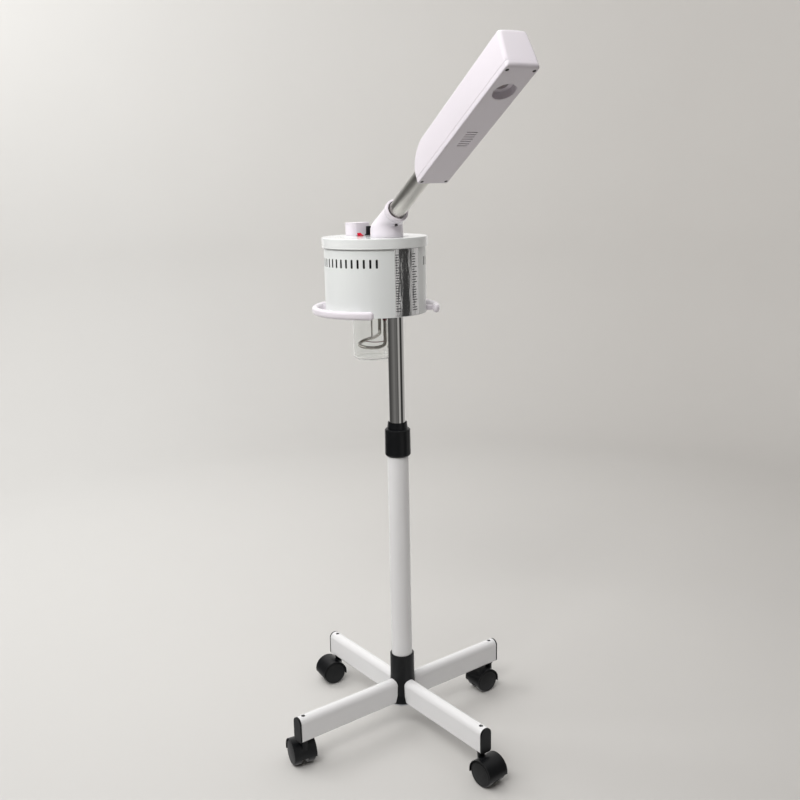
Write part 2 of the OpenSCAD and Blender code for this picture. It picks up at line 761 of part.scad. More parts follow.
module steam_duct() color([0.85, 0.83, 0.78])
    arm_frame() difference() {
        union() {
            pipe_rod(duct_r, head_start + 24, nozzle_y);
            translate([0, nozzle_y, 0]) sphere(r = duct_r);
            translate([0, nozzle_y, -duct_r - 0.1]) cylinder(r = duct_r, h = duct_r + 0.1);
        }
        pipe_rod(duct_r - 2, head_start + 10, nozzle_y);
        translate([0, nozzle_y, 0]) sphere(r = duct_r - 2);
        translate([0, nozzle_y, head_low]) cylinder(r = duct_r - 2, h = -head_low);
    }

module uv_lamp() color([0.92, 0.92, 0.98])
    arm_frame() translate([0, 0, 20]) {
        pipe_rod(5.5, head_start + 150, head_start + 230);
        for (y = [142, 228]) pipe_rod(7, head_start + y, head_start + y + 10);
    }

// ---------- casters ----------

// Child's origin is on the floor under the swivel axis, +Y points to the axle
module at_caster(i)
    on_arm(i) translate([stem_x, 0, 0]) rotate([0, 0, caster_turn[i] + 90 * i]) children();

// Cylinder about the axle from x = a to x = b
module axle_rod(r, a, b)
    translate([a, caster_trail, wheel_r]) rotate([0, 90, 0]) cylinder(r = r, h = b - a);

module hood_shape()
    difference() {
        union() {
            axle_rod(hood_r, -hood_w / 2, hood_w / 2);
            translate([0, 0, wheel_r + 12]) cylinder(r = neck_r, h = arm_z - wheel_r - 14.25);
        }
        for (s = [-1, 1]) translate([s * 40, caster_trail, wheel_r]) rotate([0, 90, 0])
            cylinder(r = wheel_r + hood_gap, h = 80 - web_w, center = true);
        translate([-50, -50, -10]) cube([100, 150, wheel_r + 5]);
        translate([0, 0, 39]) cylinder(r = stem_r + run_gap, h = 40);
        axle_rod(axle_r + seat_gap, -30, 30);
    }

module caster_hood(i) color(black) at_caster(i) hood_shape();

module caster_axle(i) color(steel) at_caster(i) axle_rod(axle_r, -20, 20);

module wheel_solid()
    rotate_extrude() polygon([
        [axle_r + run_gap, web_w / 2 + 0.6], [wheel_r - 0.8, web_w / 2 + 0.6],
        [wheel_r, web_w / 2 + 1.4], [wheel_r, hood_w / 2 - 4], [wheel_r - 1.2, hood_w / 2 - 1.5],
        [wheel_r - 4, hood_w / 2 - 0.6], [wheel_r - 5, hood_w / 2 - 1], [wheel_r - 12, hood_w / 2],
        [0, hood_w / 2 + 0.4], [0, hood_w / 2 - 2.5], [axle_r + run_gap, hood_w / 2 - 2.5]
    ]);

module caster_wheels(i) color(black)
    at_caster(i) for (s = [-1, 1])
        translate([0, caster_trail, wheel_r]) rotate([0, s * 90, 0]) wheel_solid();

place() hub_socket();
place() base_arms();
place() arm_end_caps();
place() hub_clamp_plate();
place() clamp_screws();
place() column_bolt();
place() outer_tube();
place() collet_bush();
place() caster_stems();
place() lock_collar();
place() glide_bush();
place() inner_tube();
place() tube_socket();
place() bottom_plate();
place() body_shell();
place() lid();
place() lid_seal();
place() panel_overlay();
place() foil_label();
place() handle_ring();
place() handle_screws();
place() jar_mount();
place() boiler_cap();
place() heating_element();
place() level_probe();
place() steam_riser();
place() steam_seal();
place() control_board();
place() wiring_cover();
place() power_inlet();
place() switch_frame();
place() timer_unit();
place() power_rocker();
place() timer_knob();
place() jar_gasket();
place() glass_jar();
place() jar_ring();
place() steam_elbow();
place() elbow_nut();
place() elbow_screw();
place() steam_pipe();
place() head_base();
place() head_cover();
place() head_screws();
place() outlet_nozzle();
place() steam_duct();
place() uv_lamp();
place() caster_hood(0);  // caster_hood_front
place() caster_hood(1);  // caster_hood_left
place() caster_hood(2);  // caster_hood_back
place() caster_hood(3);  // caster_hood_right
place() caster_axle(0);  // caster_axle_front
place() caster_axle(1);  // caster_axle_left
place() caster_axle(2);  // caster_axle_back
place() caster_axle(3);  // caster_axle_right
place() caster_wheels(0);  // caster_wheels_front
place() caster_wheels(1);  // caster_wheels_left
place() caster_wheels(2);  // caster_wheels_back
place() caster_wheels(3);  // caster_wheels_right
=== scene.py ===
import json
import math

import bmesh
import bpy
from mathutils import Matrix, Vector

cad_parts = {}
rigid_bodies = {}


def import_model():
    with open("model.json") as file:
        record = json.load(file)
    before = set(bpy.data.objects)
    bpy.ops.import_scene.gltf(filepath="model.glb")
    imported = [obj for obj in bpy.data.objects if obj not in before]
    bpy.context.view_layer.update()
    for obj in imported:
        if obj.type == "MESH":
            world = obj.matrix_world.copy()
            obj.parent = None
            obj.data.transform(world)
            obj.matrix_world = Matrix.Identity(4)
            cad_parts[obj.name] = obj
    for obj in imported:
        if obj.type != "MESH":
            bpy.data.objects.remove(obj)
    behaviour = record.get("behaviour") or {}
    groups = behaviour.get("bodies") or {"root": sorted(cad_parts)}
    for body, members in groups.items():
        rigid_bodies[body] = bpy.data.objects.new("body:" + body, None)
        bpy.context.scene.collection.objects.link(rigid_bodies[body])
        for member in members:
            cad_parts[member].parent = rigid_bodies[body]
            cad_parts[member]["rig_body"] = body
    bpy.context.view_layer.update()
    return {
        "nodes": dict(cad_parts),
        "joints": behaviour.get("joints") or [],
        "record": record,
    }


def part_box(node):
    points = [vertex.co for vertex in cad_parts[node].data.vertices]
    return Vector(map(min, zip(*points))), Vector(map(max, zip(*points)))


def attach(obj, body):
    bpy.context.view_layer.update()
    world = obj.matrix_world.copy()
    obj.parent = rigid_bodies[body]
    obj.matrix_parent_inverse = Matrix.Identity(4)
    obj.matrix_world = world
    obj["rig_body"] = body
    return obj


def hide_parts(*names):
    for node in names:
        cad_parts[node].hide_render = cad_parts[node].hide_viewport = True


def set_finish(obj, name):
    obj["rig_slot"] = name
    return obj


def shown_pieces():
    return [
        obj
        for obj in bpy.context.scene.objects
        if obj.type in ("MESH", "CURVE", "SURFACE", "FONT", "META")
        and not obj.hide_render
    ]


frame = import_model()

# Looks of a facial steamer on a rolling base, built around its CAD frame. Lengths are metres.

NODES = frame["nodes"]
JOINTS = {joint["name"]: joint for joint in frame["joints"]}
SLOT_OF = {part["node"]: part["material_slot"] for part in frame["record"]["subparts"]}
MM = 0.001
UP = Vector((0, 0, 1))
CORNERS = ("front", "left", "back", "right")


def middle(node):
    low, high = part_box(node)
    return (low + high) / 2


COLUMN = middle("outer_tube")
HOUSING = middle("body_shell")
JAR = middle("jar_mount")
ELBOW = middle("elbow_nut")
LID_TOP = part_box("lid")[1].z


def arm_matrix():
    """Frame of the steam arm: X across, Y along the pipe, Z out of the upper side of the head."""
    along = Vector(JOINTS["head_roll"]["axis"]).normalized()
    across = along.cross(UP).normalized()
    start = Vector(JOINTS["head_roll"]["pos_m"])
    back = (start - ELBOW).xy.length / along.xy.length
    turn = Matrix((across, along, across.cross(along))).transposed().to_4x4()
    return Matrix.Translation(start - back * along) @ turn


ARM = arm_matrix()


def arm_box(node):
    """Lowest and highest corner of a CAD node in the frame of the steam arm."""
    inverse = ARM.inverted()
    points = [inverse @ v.co for v in NODES[node].data.vertices]
    low = Vector([min(p[i] for p in points) for i in range(3)])
    high = Vector([max(p[i] for p in points) for i in range(3)])
    return low, high


# ---------- mesh tools ----------


def add_mesh(name, verts, faces, place=None):
    mesh = bpy.data.meshes.new(name)
    mesh.from_pydata([tuple(v) for v in verts], [], faces)
    if place is not None:
        mesh.transform(place)
    obj = bpy.data.objects.new(name, mesh)
    bpy.context.scene.collection.objects.link(obj)
    return obj


def edit(obj, change):
    """Runs change(bm) on the mesh of obj."""
    bm = bmesh.new()
    bm.from_mesh(obj.data)
    change(bm)
    bm.to_mesh(obj.data)
    bm.free()
    obj.data.update()


def sharp_edges(bm, degrees):
    limit = math.radians(degrees)
    return [e for e in bm.edges if len(e.link_faces) == 2 and e.calc_face_angle(0) > limit]


def soften(obj, width=0.0, segments=3, sharp=34):
    """Merges the mesh, rounds its sharp edges to the given width and shades it smooth."""

    def change(bm):
        bmesh.ops.remove_doubles(bm, verts=bm.verts, dist=2e-6)
        flat = math.radians(0.4)
        bmesh.ops.dissolve_limit(bm, angle_limit=flat, verts=bm.verts, edges=bm.edges)
        bmesh.ops.recalc_face_normals(bm, faces=bm.faces)
        if width:
            bmesh.ops.bevel(bm, geom=sharp_edges(bm, sharp), offset=width, segments=segments,
                            profile=0.5, affect="EDGES", clamp_overlap=True)
        for face in bm.faces:
            face.smooth = True
        for edge in sharp_edges(bm, 50):
            edge.smooth = False

    edit(obj, change)
    weighted = obj.modifiers.new("weighted_normals", "WEIGHTED_NORMAL")
    weighted.keep_sharp = True
    return obj


def apply_modifiers(obj):
    graph = bpy.context.evaluated_depsgraph_get()
    mesh = bpy.data.meshes.new_from_object(obj.evaluated_get(graph))
    obj.modifiers.clear()
    obj.data = mesh
    return obj


def cut(obj, *cutters):
    """Takes the cutters away from obj and removes them."""
    for cutter in cutters:
        modifier = obj.modifiers.new("cut", "BOOLEAN")
        modifier.operation = "DIFFERENCE"
        modifier.solver = "EXACT"
        modifier.object = cutter
        apply_modifiers(obj)
        bpy.data.objects.remove(cutter)
    return obj


def revolved(name, profile, place=None, steps=96, closed=True):
    """Turns the (radius, height) points of profile about the Z axis."""
    verts, rings = [], []
    for radius, height in profile:
        if radius < 1e-7:
            rings.append([len(verts)] * steps)
            verts.append((0, 0, height))
            continue
        rings.append(list(range(len(verts), len(verts) + steps)))
        for k in range(steps):
            angle = 2 * math.pi * k / steps
            verts.append((radius * math.cos(angle), radius * math.sin(angle), height))
    faces = []
    count = len(rings)
    for i in range(count if closed else count - 1):
        a, b = rings[i], rings[(i + 1) % count]
        for k in range(steps):
            n = (k + 1) % steps
            corners = list(dict.fromkeys((a[k], a[n], b[n], b[k])))
            if len(corners) > 2:
                faces.append(corners)
    return add_mesh(name, verts, faces, place)


def arc(centre, radius, start, end, steps):
    """Points on an arc in the plane, angles in degrees."""
    points = []
    for k in range(steps + 1):
        angle = math.radians(start + (end - start) * k / steps)
        points.append((centre[0] + radius * math.cos(angle), centre[1] + radius * math.sin(angle)))
    return points


def box_mesh(name, size, place):
    x, y, z = (s / 2 for s in size)
    verts = [(sx * x, sy * y, sz * z) for sx in (-1, 1) for sy in (-1, 1) for sz in (-1, 1)]
    faces = [(0, 1, 3, 2), (4, 6, 7, 5), (0, 4, 5, 1), (2, 3, 7, 6), (0, 2, 6, 4), (1, 5, 7, 3)]
    return add_mesh(name, verts, faces, place)


def rod(name, radius, length, place, steps=64):
    """Closed round bar from z = 0 to z = length, used to cut holes."""
    return revolved(name, [(0, 0), (radius, 0), (radius, length), (0, length)], place, steps, False)


def smooth_path(points, steps):
    """Catmull-Rom curve through points."""
    ends = [points[0] * 2 - points[1]] + list(points) + [points[-1] * 2 - points[-2]]
    path = []
    for i in range(1, len(ends) - 2):
        p0, p1, p2, p3 = ends[i - 1:i + 3]
        for k in range(steps):
            t = k / steps
            path.append(0.5 * (2 * p1 + (p2 - p0) * t + (2 * p0 - 5 * p1 + 4 * p2 - p3) * t * t
                               + (3 * p1 - p0 - 3 * p2 + p3) * t ** 3))
    path.append(points[-1].copy())
    return path


def tube(name, path, radius, sides=16):
    """Round bar along a path of points, with closed ends."""
    verts, faces = [], []
    side = None
    for i, point in enumerate(path):
        ahead = path[min(i + 1, len(path) - 1)] - path[max(i - 1, 0)]
        ahead.normalize()
        if side is None:
            side = ahead.orthogonal().normalized()
        side = (side - ahead * side.dot(ahead)).normalized()
        other = ahead.cross(side)
        for k in range(sides):
            angle = 2 * math.pi * k / sides
            verts.append(point + radius * (math.cos(angle) * side + math.sin(angle) * other))
    for i in range(len(path) - 1):
        for k in range(sides):
            n = (k + 1) % sides
            faces.append((i * sides + k, i * sides + n, (i + 1) * sides + n, (i + 1) * sides + k))
    last = (len(path) - 1) * sides
    faces.append(tuple(range(sides)))
    faces.append(tuple(last + k for k in range(sides)))
    return add_mesh(name, verts, faces)


def stand_for(obj, *nodes):
    """obj is shown in place of these CAD nodes, and moves and is finished like the first one."""
    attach(obj, NODES[nodes[0]]["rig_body"])
    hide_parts(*nodes)
    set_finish(obj, SLOT_OF[nodes[0]])
    return obj


def add_detail(obj, body, slot):
    """obj is an extra detail that moves with a CAD body."""
    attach(obj, body)
    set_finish(obj, slot)
    return obj


def rounded_copy(node, width, segments=3, sharp=34):
    """Copy of a CAD node with its edges rounded, shown in its place."""
    obj = bpy.data.objects.new(node + "_rounded", NODES[node].data.copy())
    bpy.context.scene.collection.objects.link(obj)
    soften(obj, width, segments, sharp)
    return stand_for(obj, node)


# ---------- material tools ----------


class Surface:
    """A Principled material with a few short ways to wire noise into it."""

    def __init__(self, name):
        self.material = bpy.data.materials.new(name)
        self.material.use_nodes = True
        self.tree = self.material.node_tree
        self.tree.nodes.clear()
        self.output = self.add("ShaderNodeOutputMaterial")
        self.bsdf = self.add("ShaderNodeBsdfPrincipled")
        self.link(self.bsdf.outputs["BSDF"], self.output.inputs["Surface"])
        self.place = self.add("ShaderNodeTexCoord").outputs["Object"]

    def add(self, kind, **settings):
        node = self.tree.nodes.new(kind)
        for key, value in settings.items():
            setattr(node, key, value)
        return node

    def link(self, source, target):
        self.tree.links.new(source, target)

    def set(self, **values):
        for key, value in values.items():
            self.bsdf.inputs[key.replace("_", " ")].default_value = value

    def stretched(self, scale, turn=(0, 0, 0)):
        node = self.add("ShaderNodeMapping")
        node.inputs["Scale"].default_value = scale
        node.inputs["Rotation"].default_value = turn
        self.link(self.place, node.inputs["Vector"])
        return node.outputs["Vector"]

    def noise(self, scale, detail=3.0, roughness=0.5, where=None):
        node = self.add("ShaderNodeTexNoise")
        node.inputs["Scale"].default_value = scale
        node.inputs["Detail"].default_value = detail
        node.inputs["Roughness"].default_value = roughness
        self.link(where or self.place, node.inputs["Vector"])
        return node.outputs["Fac"]

    def math(self, operation, a, b=None, clamp=False):
        node = self.add("ShaderNodeMath", operation=operation, use_clamp=clamp)
        for index, value in enumerate((a, b)):
            if value is None:
                continue
            if isinstance(value, (int, float)):
                node.inputs[index].default_value = value
            else:
                self.link(value, node.inputs[index])
        return node.outputs[0]

    def spread(self, fac, low, high, out_low, out_high):
        """Maps fac from low..high to out_low..out_high, clamped."""
        node = self.add("ShaderNodeMapRange")
        for key, value in zip(("From Min", "From Max", "To Min", "To Max"),
                              (low, high, out_low, out_high)):
            node.inputs[key].default_value = value
        self.link(fac, node.inputs["Value"])
        return node.outputs["Result"]

    def mix(self, fac, a, b):
        """Mixes two colours; each is a colour or a socket."""
        node = self.add("ShaderNodeMix", data_type="RGBA")
        for index, value in ((6, a), (7, b)):
            if isinstance(value, tuple):
                node.inputs[index].default_value = (*value, 1)
            else:
                self.link(value, node.inputs[index])
        self.link(fac, node.inputs[0])
        return node.outputs[2]

    def color(self, socket):
        self.link(socket, self.bsdf.inputs["Base Color"])

    def rough(self, socket):
        self.link(socket, self.bsdf.inputs["Roughness"])

    def bump(self, height, strength, distance=0.0005):
        node = self.add("ShaderNodeBump")
        node.inputs["Strength"].default_value = strength
        node.inputs["Distance"].default_value = distance
        self.link(height, node.inputs["Height"])
        self.link(node.outputs["Normal"], self.bsdf.inputs["Normal"])


def shade(color, factor):
    return tuple(min(1.0, c * factor) for c in color)


def coated(name, color, roughness, coat, peel, dust=(0.55, 0.53, 0.50), dust_share=0.05,
           shine=0.5):
    """Paint or glossy plastic: slight tone drift, faint dust, smudged gloss and orange peel."""
    s = Surface(name)
    drift = s.spread(s.noise(7, 3), 0.3, 0.7, 0, 1)
    tone = s.mix(drift, shade(color, 0.988), shade(color, 1.008))
    specks = s.spread(s.noise(260, 6, 0.7), 0.64, 0.8, 0, dust_share)
    s.color(s.mix(specks, tone, dust))
    smudge = s.noise(18, 4, 0.55)
    s.rough(s.spread(smudge, 0.3, 0.7, roughness * 0.92, roughness * 1.12))
    s.set(Coat_Weight=coat, Coat_Roughness=roughness * 0.4)
    s.bump(s.noise(520, 2), peel, 0.0002)
    s.set(Specular_IOR_Level=shine)
    return s.material


def housing_paint():
    """Satin paint outside; inside the outer skin it is painted near-black as shade, slot edges too."""
    s = Surface("housing_paint")
    axis = s.add("ShaderNodeSeparateXYZ")
    s.link(s.place, axis.inputs["Vector"])
    across = s.math("SUBTRACT", axis.outputs["X"], HOUSING.x)
    along = s.math("SUBTRACT", axis.outputs["Y"], HOUSING.y)
    reach = s.math("SQRT", s.math("ADD", s.math("MULTIPLY", across, across),
                                  s.math("MULTIPLY", along, along)))
    wall = (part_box("body_shell")[1].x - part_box("body_shell")[0].x) / 2
    # painted shade: near-black inside the outer skin of the wall, fading in over the slot edges
    outside = s.spread(reach, wall - 0.0003, wall - 0.0001, 0, 1)
    floor_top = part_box("bottom_plate")[1].z
    below = s.math("LESS_THAN", axis.outputs["Z"], floor_top - 0.0001)
    outside = s.math("ADD", outside, below, clamp=True)
    drift = s.spread(s.noise(7, 4), 0.3, 0.7, 0, 1)
    tone = s.mix(drift, (0.765, 0.790, 0.787), (0.785, 0.810, 0.807))
    # painted shade: the dark colour stands in for the shade inside the housing and its slots; below the top
    # of the bottom plate it stays paint
    s.color(s.mix(outside, (0.015, 0.015, 0.017), tone))
    s.rough(s.spread(s.noise(26, 5, 0.6), 0.3, 0.7, 0.27, 0.36))
    s.set(Coat_Weight=0.2, Coat_Roughness=0.12)
    s.bump(s.noise(520, 2), 0.05, 0.0002)
    return s.material


def moulded(name, color, roughness, grain, grain_scale=1500):
    """Textured plastic with worn, slightly lighter rubs and settled dust."""
    s = Surface(name)
    rub = s.spread(s.noise(45, 5, 0.65), 0.5, 0.75, 0, 1)
    tone = s.mix(rub, color, tuple(c + 0.005 for c in color))
    dust = s.spread(s.noise(320, 6, 0.75), 0.62, 0.85, 0, 0.06)
    s.color(s.mix(dust, tone, (0.32, 0.31, 0.29)))
    s.rough(s.spread(rub, 0, 1, roughness, roughness * 0.78))
    s.set(Specular_IOR_Level=0.35)
    s.bump(s.noise(grain_scale, 3), grain, 0.0003)
    return s.material


def metal(name, color, roughness, stretch, streak, grime=0.0):
    """Metal with streaks drawn out along one direction and faint finger marks."""
    s = Surface(name)
    streaks = s.noise(240, 4, 0.6, s.stretched(stretch))
    marks = s.spread(s.noise(30, 5, 0.6), 0.45, 0.75, 0, 1)
    tone = s.mix(streaks, shade(color, 1 - streak), shade(color, 1 + streak))
    s.color(s.mix(s.math("MULTIPLY", marks, grime), tone, shade(color, 0.55)))
    even = s.spread(streaks, 0.3, 0.7, roughness * 0.8, roughness * 1.3)
    s.rough(s.math("ADD", even, s.math("MULTIPLY", marks, 0.04)))
    s.set(Metallic=1.0)
    s.bump(streaks, 0.03, 0.0002)
    return s.material


def soft_plastic(name, color, roughness, glow):
    """Silicone or nylon that lets a little light in."""
    s = Surface(name)
    s.color(s.mix(s.noise(60, 4), shade(color, 0.94), shade(color, 1.03)))
    s.rough(s.spread(s.noise(90, 4), 0.3, 0.7, roughness * 0.85, roughness * 1.2))
    s.set(Subsurface_Weight=glow, Subsurface_Scale=0.002)
    s.bump(s.noise(700, 2), 0.05, 0.0002)
    return s.material


def clear_glass():
    """Clear jar glass with a faint haze of lime in patches."""
    s = Surface("jar_glass")
    haze = s.spread(s.noise(55, 6, 0.65), 0.5, 0.8, 0.0, 0.05)
    s.rough(haze)
    s.color(s.mix(haze, (0.985, 0.995, 0.99), (0.93, 0.94, 0.93)))
    s.set(Transmission_Weight=1.0, IOR=1.47)
    s.bump(s.noise(35, 2), 0.02, 0.0004)
    return s.material


def frosted_glass():
    s = Surface("lamp_glass")
    s.color(s.mix(s.noise(80, 3), (0.86, 0.86, 0.93), (0.94, 0.94, 0.98)))
    s.rough(s.spread(s.noise(120, 3), 0.3, 0.7, 0.25, 0.4))
    s.set(Transmission_Weight=0.6, IOR=1.46)
    s.bump(s.noise(900, 2), 0.04, 0.0001)
    return s.material


def circuit_board():
    """Green solder mask with copper-tinted tracks."""
    s = Surface("circuit_board")
    checks = s.add("ShaderNodeTexBrick")
    checks.inputs["Scale"].default_value = 90
    checks.inputs["Color1"].default_value = (0.03, 0.20, 0.09, 1)
    checks.inputs["Color2"].default_value = (0.04, 0.26, 0.12, 1)
    checks.inputs["Mortar"].default_value = (0.10, 0.34, 0.14, 1)
    s.link(s.place, checks.inputs["Vector"])
    s.color(checks.outputs["Color"])
    s.rough(s.spread(s.noise(60, 3), 0.3, 0.7, 0.3, 0.45))
    s.bump(checks.outputs["Fac"], 0.1, 0.0001)
    return s.material


LABEL_ROW = 0.0047      # pitch of the printed rows on the foil label


def foil_label():
    """Bright foil with two columns of plain printed bars; the bars stand for text."""
    low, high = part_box("foil_label")
    s = Surface("foil")
    axis = s.add("ShaderNodeSeparateXYZ")
    s.link(s.place, axis.inputs["Vector"])
    turn = s.math("ARCTAN2", s.math("SUBTRACT", axis.outputs["X"], HOUSING.x),
                  s.math("SUBTRACT", HOUSING.y, axis.outputs["Y"]))
    height = s.math("SUBTRACT", axis.outputs["Z"], low.z)
    row = s.math("DIVIDE", height, LABEL_ROW)
    in_row = s.math("LESS_THAN", s.math("FRACT", row), 0.36)
    inside = s.math("LESS_THAN", s.math("ABSOLUTE", s.math("SUBTRACT", axis.outputs["Z"],
                    (low.z + high.z) / 2)), (high.z - low.z) / 2 - 0.009)
    jitter = s.add("ShaderNodeTexWhiteNoise", noise_dimensions="1D")
    s.link(s.math("FLOOR", row), jitter.inputs["W"])
    bars = None
    for start, length in ((-0.235, 0.11), (0.15, 0.15)):
        after = s.math("GREATER_THAN", turn, start)
        end = s.math("ADD", s.math("MULTIPLY", jitter.outputs["Value"], length * 0.6),
                     start + length * 0.4)
        column = s.math("MULTIPLY", after, s.math("LESS_THAN", turn, end))
        bars = column if bars is None else s.math("ADD", bars, column, clamp=True)
    letters = s.spread(s.noise(900, 1), 0.40, 0.48, 0.75, 1)
    ink = s.math("MULTIPLY", s.math("MULTIPLY", bars, in_row),
                 s.math("MULTIPLY", inside, letters))
    creases = s.noise(60, 4, 0.55, s.stretched((1, 1, 0.18)))
    s.color(s.mix(ink, (0.82, 0.82, 0.82), (0.012, 0.012, 0.015)))
    s.link(s.math("SUBTRACT", 1.0, s.math("MULTIPLY", ink, 0.9)), s.bsdf.inputs["Metallic"])
    s.rough(s.spread(creases, 0.3, 0.7, 0.10, 0.2))
    s.bump(creases, 0.9, 0.002)
    return s.material


LILAC = (0.775, 0.735, 0.79)
RED_DUST = (0.40, 0.20, 0.20)

MATERIALS = {
    "painted_tube": coated("painted_tube", (0.80, 0.80, 0.81), 0.24, 0.35, 0.03),
    "housing_paint": housing_paint(),
    "lid_paint": coated("lid_paint", (0.82, 0.84, 0.84), 0.16, 0.6, 0.03),
    "panel_film": coated("panel_film", (0.80, 0.815, 0.825), 0.12, 0.35, 0.01),
    "foil": foil_label(),
    "black_plastic": moulded("black_plastic", (0.0035, 0.004, 0.005), 0.38, 0.12),
    "wheel_plastic": moulded("wheel_plastic", (0.005, 0.0055, 0.006), 0.40, 0.08),
    "white_plastic": soft_plastic("white_plastic", (0.80, 0.80, 0.78), 0.4, 0.1),
    "lilac_plastic": coated("lilac_plastic", LILAC, 0.22, 0.25, 0.02),
    "chrome": metal("chrome", (0.64, 0.635, 0.62), 0.05, (1, 1, 0.02), 0.02, 0.06),
    "pipe_steel": metal("pipe_steel", (0.66, 0.645, 0.605), 0.36, (1, 0.1, 0.1), 0.04, 0.06),
    "coil_chrome": metal("coil_chrome", (0.52, 0.50, 0.47), 0.10, (1, 1, 1), 0.1, 0.35),
    "zinc_steel": metal("zinc_steel", (0.56, 0.57, 0.59), 0.34, (1, 1, 1), 0.12, 0.3),
    "black_screw": metal("black_screw", (0.045, 0.04, 0.042), 0.4, (1, 1, 1), 0.2),
    "seal_rubber": moulded("seal_rubber", (0.018, 0.016, 0.018), 0.7, 0.2, 900),
    "silicone": soft_plastic("silicone", (0.78, 0.75, 0.68), 0.45, 0.3),
    "circuit_board": circuit_board(),
    "red_plastic": coated("red_plastic", (0.50, 0.001, 0.02), 0.4, 0.0, 0.02, RED_DUST, 0.005, 0.05),
    "dark_red": coated("dark_red", (0.16, 0.012, 0.02), 0.35, 0.1, 0.02, RED_DUST, 0.02),
    "jar_glass": clear_glass(),
    "lamp_glass": frosted_glass(),
}


# CAD nodes and pieces that don't look like their slot
OWN_LOOK = {
    "caster_stems": "black_screw",      # painted shade: the stems are black so the access holes of the arms look dark
    "coil_shape": "coil_chrome", "coil_sleeve": "dark_red", "coil_wire": "dark_red",
}


def paint_everything():
    """Every shown piece gets the material of its slot, or its own look."""
    shown = [(node, obj, SLOT_OF[node]) for node, obj in NODES.items()]
    shown += [(obj.name.split(".")[0], obj, obj["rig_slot"]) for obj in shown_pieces() if "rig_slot" in obj]
    for name, obj, slot in shown:
        obj.data.materials.clear()
        obj.data.materials.append(MATERIALS[OWN_LOOK.get(name, slot)])


# ---------- steam head ----------

HEAD_WALL = 0.0022
HEAD_TOP_HALF = 0.0245      # half width at the top of the head
HEAD_TOP_CORNER = 0.005
HEAD_LOW_CORNER = 0.002
HEAD_CROWN = 0.0008         # how much the top of the head bulges
NEAR_TOP_ROUND = 0.050
NEAR_SIDE_ROUND = 0.004
FAR_TOP_ROUND = 0.0055
FAR_SIDE_ROUND = 0.007
FAR_LOW_ROUND = 0.006
SEAM_CHAMFER = 0.0004

HEAD_LOW, HEAD_HIGH = arm_box("head_base")
COVER_LOW, COVER_HIGH = arm_box("head_cover")
SEAM_Z = COVER_LOW.z - 0.00005


def drop(distance, radius):
    """How far a rounded edge falls back, at a distance inside the end where it starts."""
    if distance >= radius:
        return 0.0
    reach = radius - max(distance, 0.0)
    return radius - math.sqrt(max(radius * radius - reach * reach, 0.0))


def half_width(z, inset):
    share = (z - HEAD_LOW.z) / (COVER_HIGH.z - HEAD_LOW.z)
    return HEAD_HIGH.x - (HEAD_HIGH.x - HEAD_TOP_HALF) * share * share - inset


def head_stations(inset):
    """Positions along the head, close together where its ends are rounded."""
    near, far = HEAD_LOW.y + inset, HEAD_HIGH.y - inset
    steps = [math.sin(math.radians(a)) for a in range(0, 91, 10)]
    ys = [near + NEAR_SIDE_ROUND * (1 - math.cos(math.radians(a))) for a in range(0, 90, 15)]
    ys += [near + NEAR_TOP_ROUND * (1 - math.cos(math.radians(a))) for a in range(25, 91, 5)]
    ys += [near + 0.12, near + 0.19]
    ys += [far - FAR_TOP_ROUND * (1 - k) for k in steps]
    return ys


def cover_loop(y, inset):
    """Outline of the cover at y, from its left seam edge over the top to the right one."""
    near, far = y - HEAD_LOW.y - inset, HEAD_HIGH.y - inset - y
    side = inset + drop(near, NEAR_SIDE_ROUND) + drop(far, FAR_SIDE_ROUND)
    top = (COVER_HIGH.z - inset - HEAD_CROWN - drop(near, NEAR_TOP_ROUND - inset)
           - drop(far, FAR_TOP_ROUND))
    low = SEAM_Z + 0.0001
    corner = min(HEAD_TOP_CORNER - inset, (top - low) * 0.7)
    tilt = math.radians(6)
    end = top - corner * (1 - math.sin(tilt))
    points = [(half_width(low, side) - SEAM_CHAMFER, low)]
    for k in range(6):
        z = low + SEAM_CHAMFER + (end - low - SEAM_CHAMFER) * k / 5
        points.append((half_width(z, side), z))
    x, z = points[-1]
    centre = (x - corner * math.cos(tilt), z - corner * math.sin(tilt))
    points += arc(centre, corner, 6, 90, 10)[1:]
    flat = points[-1][0]
    for k in (0.66, 0.33):
        points.append((flat * k, top + HEAD_CROWN * (1 - k * k)))
    points.append((0.0, top + HEAD_CROWN))
    return [(-x, y, z) for x, z in points] + [(x, y, z) for x, z in reversed(points[:-1])]


def tray_loop(y, inset):
    """Outline of the base at y, from its left seam edge under the floor to the right one."""
    near, far = y - HEAD_LOW.y - inset, HEAD_HIGH.y - inset - y
    side = inset + drop(near, NEAR_SIDE_ROUND) + drop(far, FAR_SIDE_ROUND)
    low = HEAD_LOW.z + inset + drop(near, NEAR_SIDE_ROUND / 2) + drop(far, FAR_LOW_ROUND)
    high = SEAM_Z
    points = [(half_width(high, side) - SEAM_CHAMFER, high)]
    corner = HEAD_LOW_CORNER
    for k in range(3):
        z = high - SEAM_CHAMFER - (high - SEAM_CHAMFER - low - corner) * k / 2
        points.append((half_width(z, side), z))
    x, z = points[-1]
    points += arc((x - corner, z), corner, 0, -90, 6)[1:]
    points += [(points[-1][0] * k, low) for k in (0.5, 0.0)]
    return [(-x, y, z) for x, z in points] + [(x, y, z) for x, z in reversed(points[:-1])]


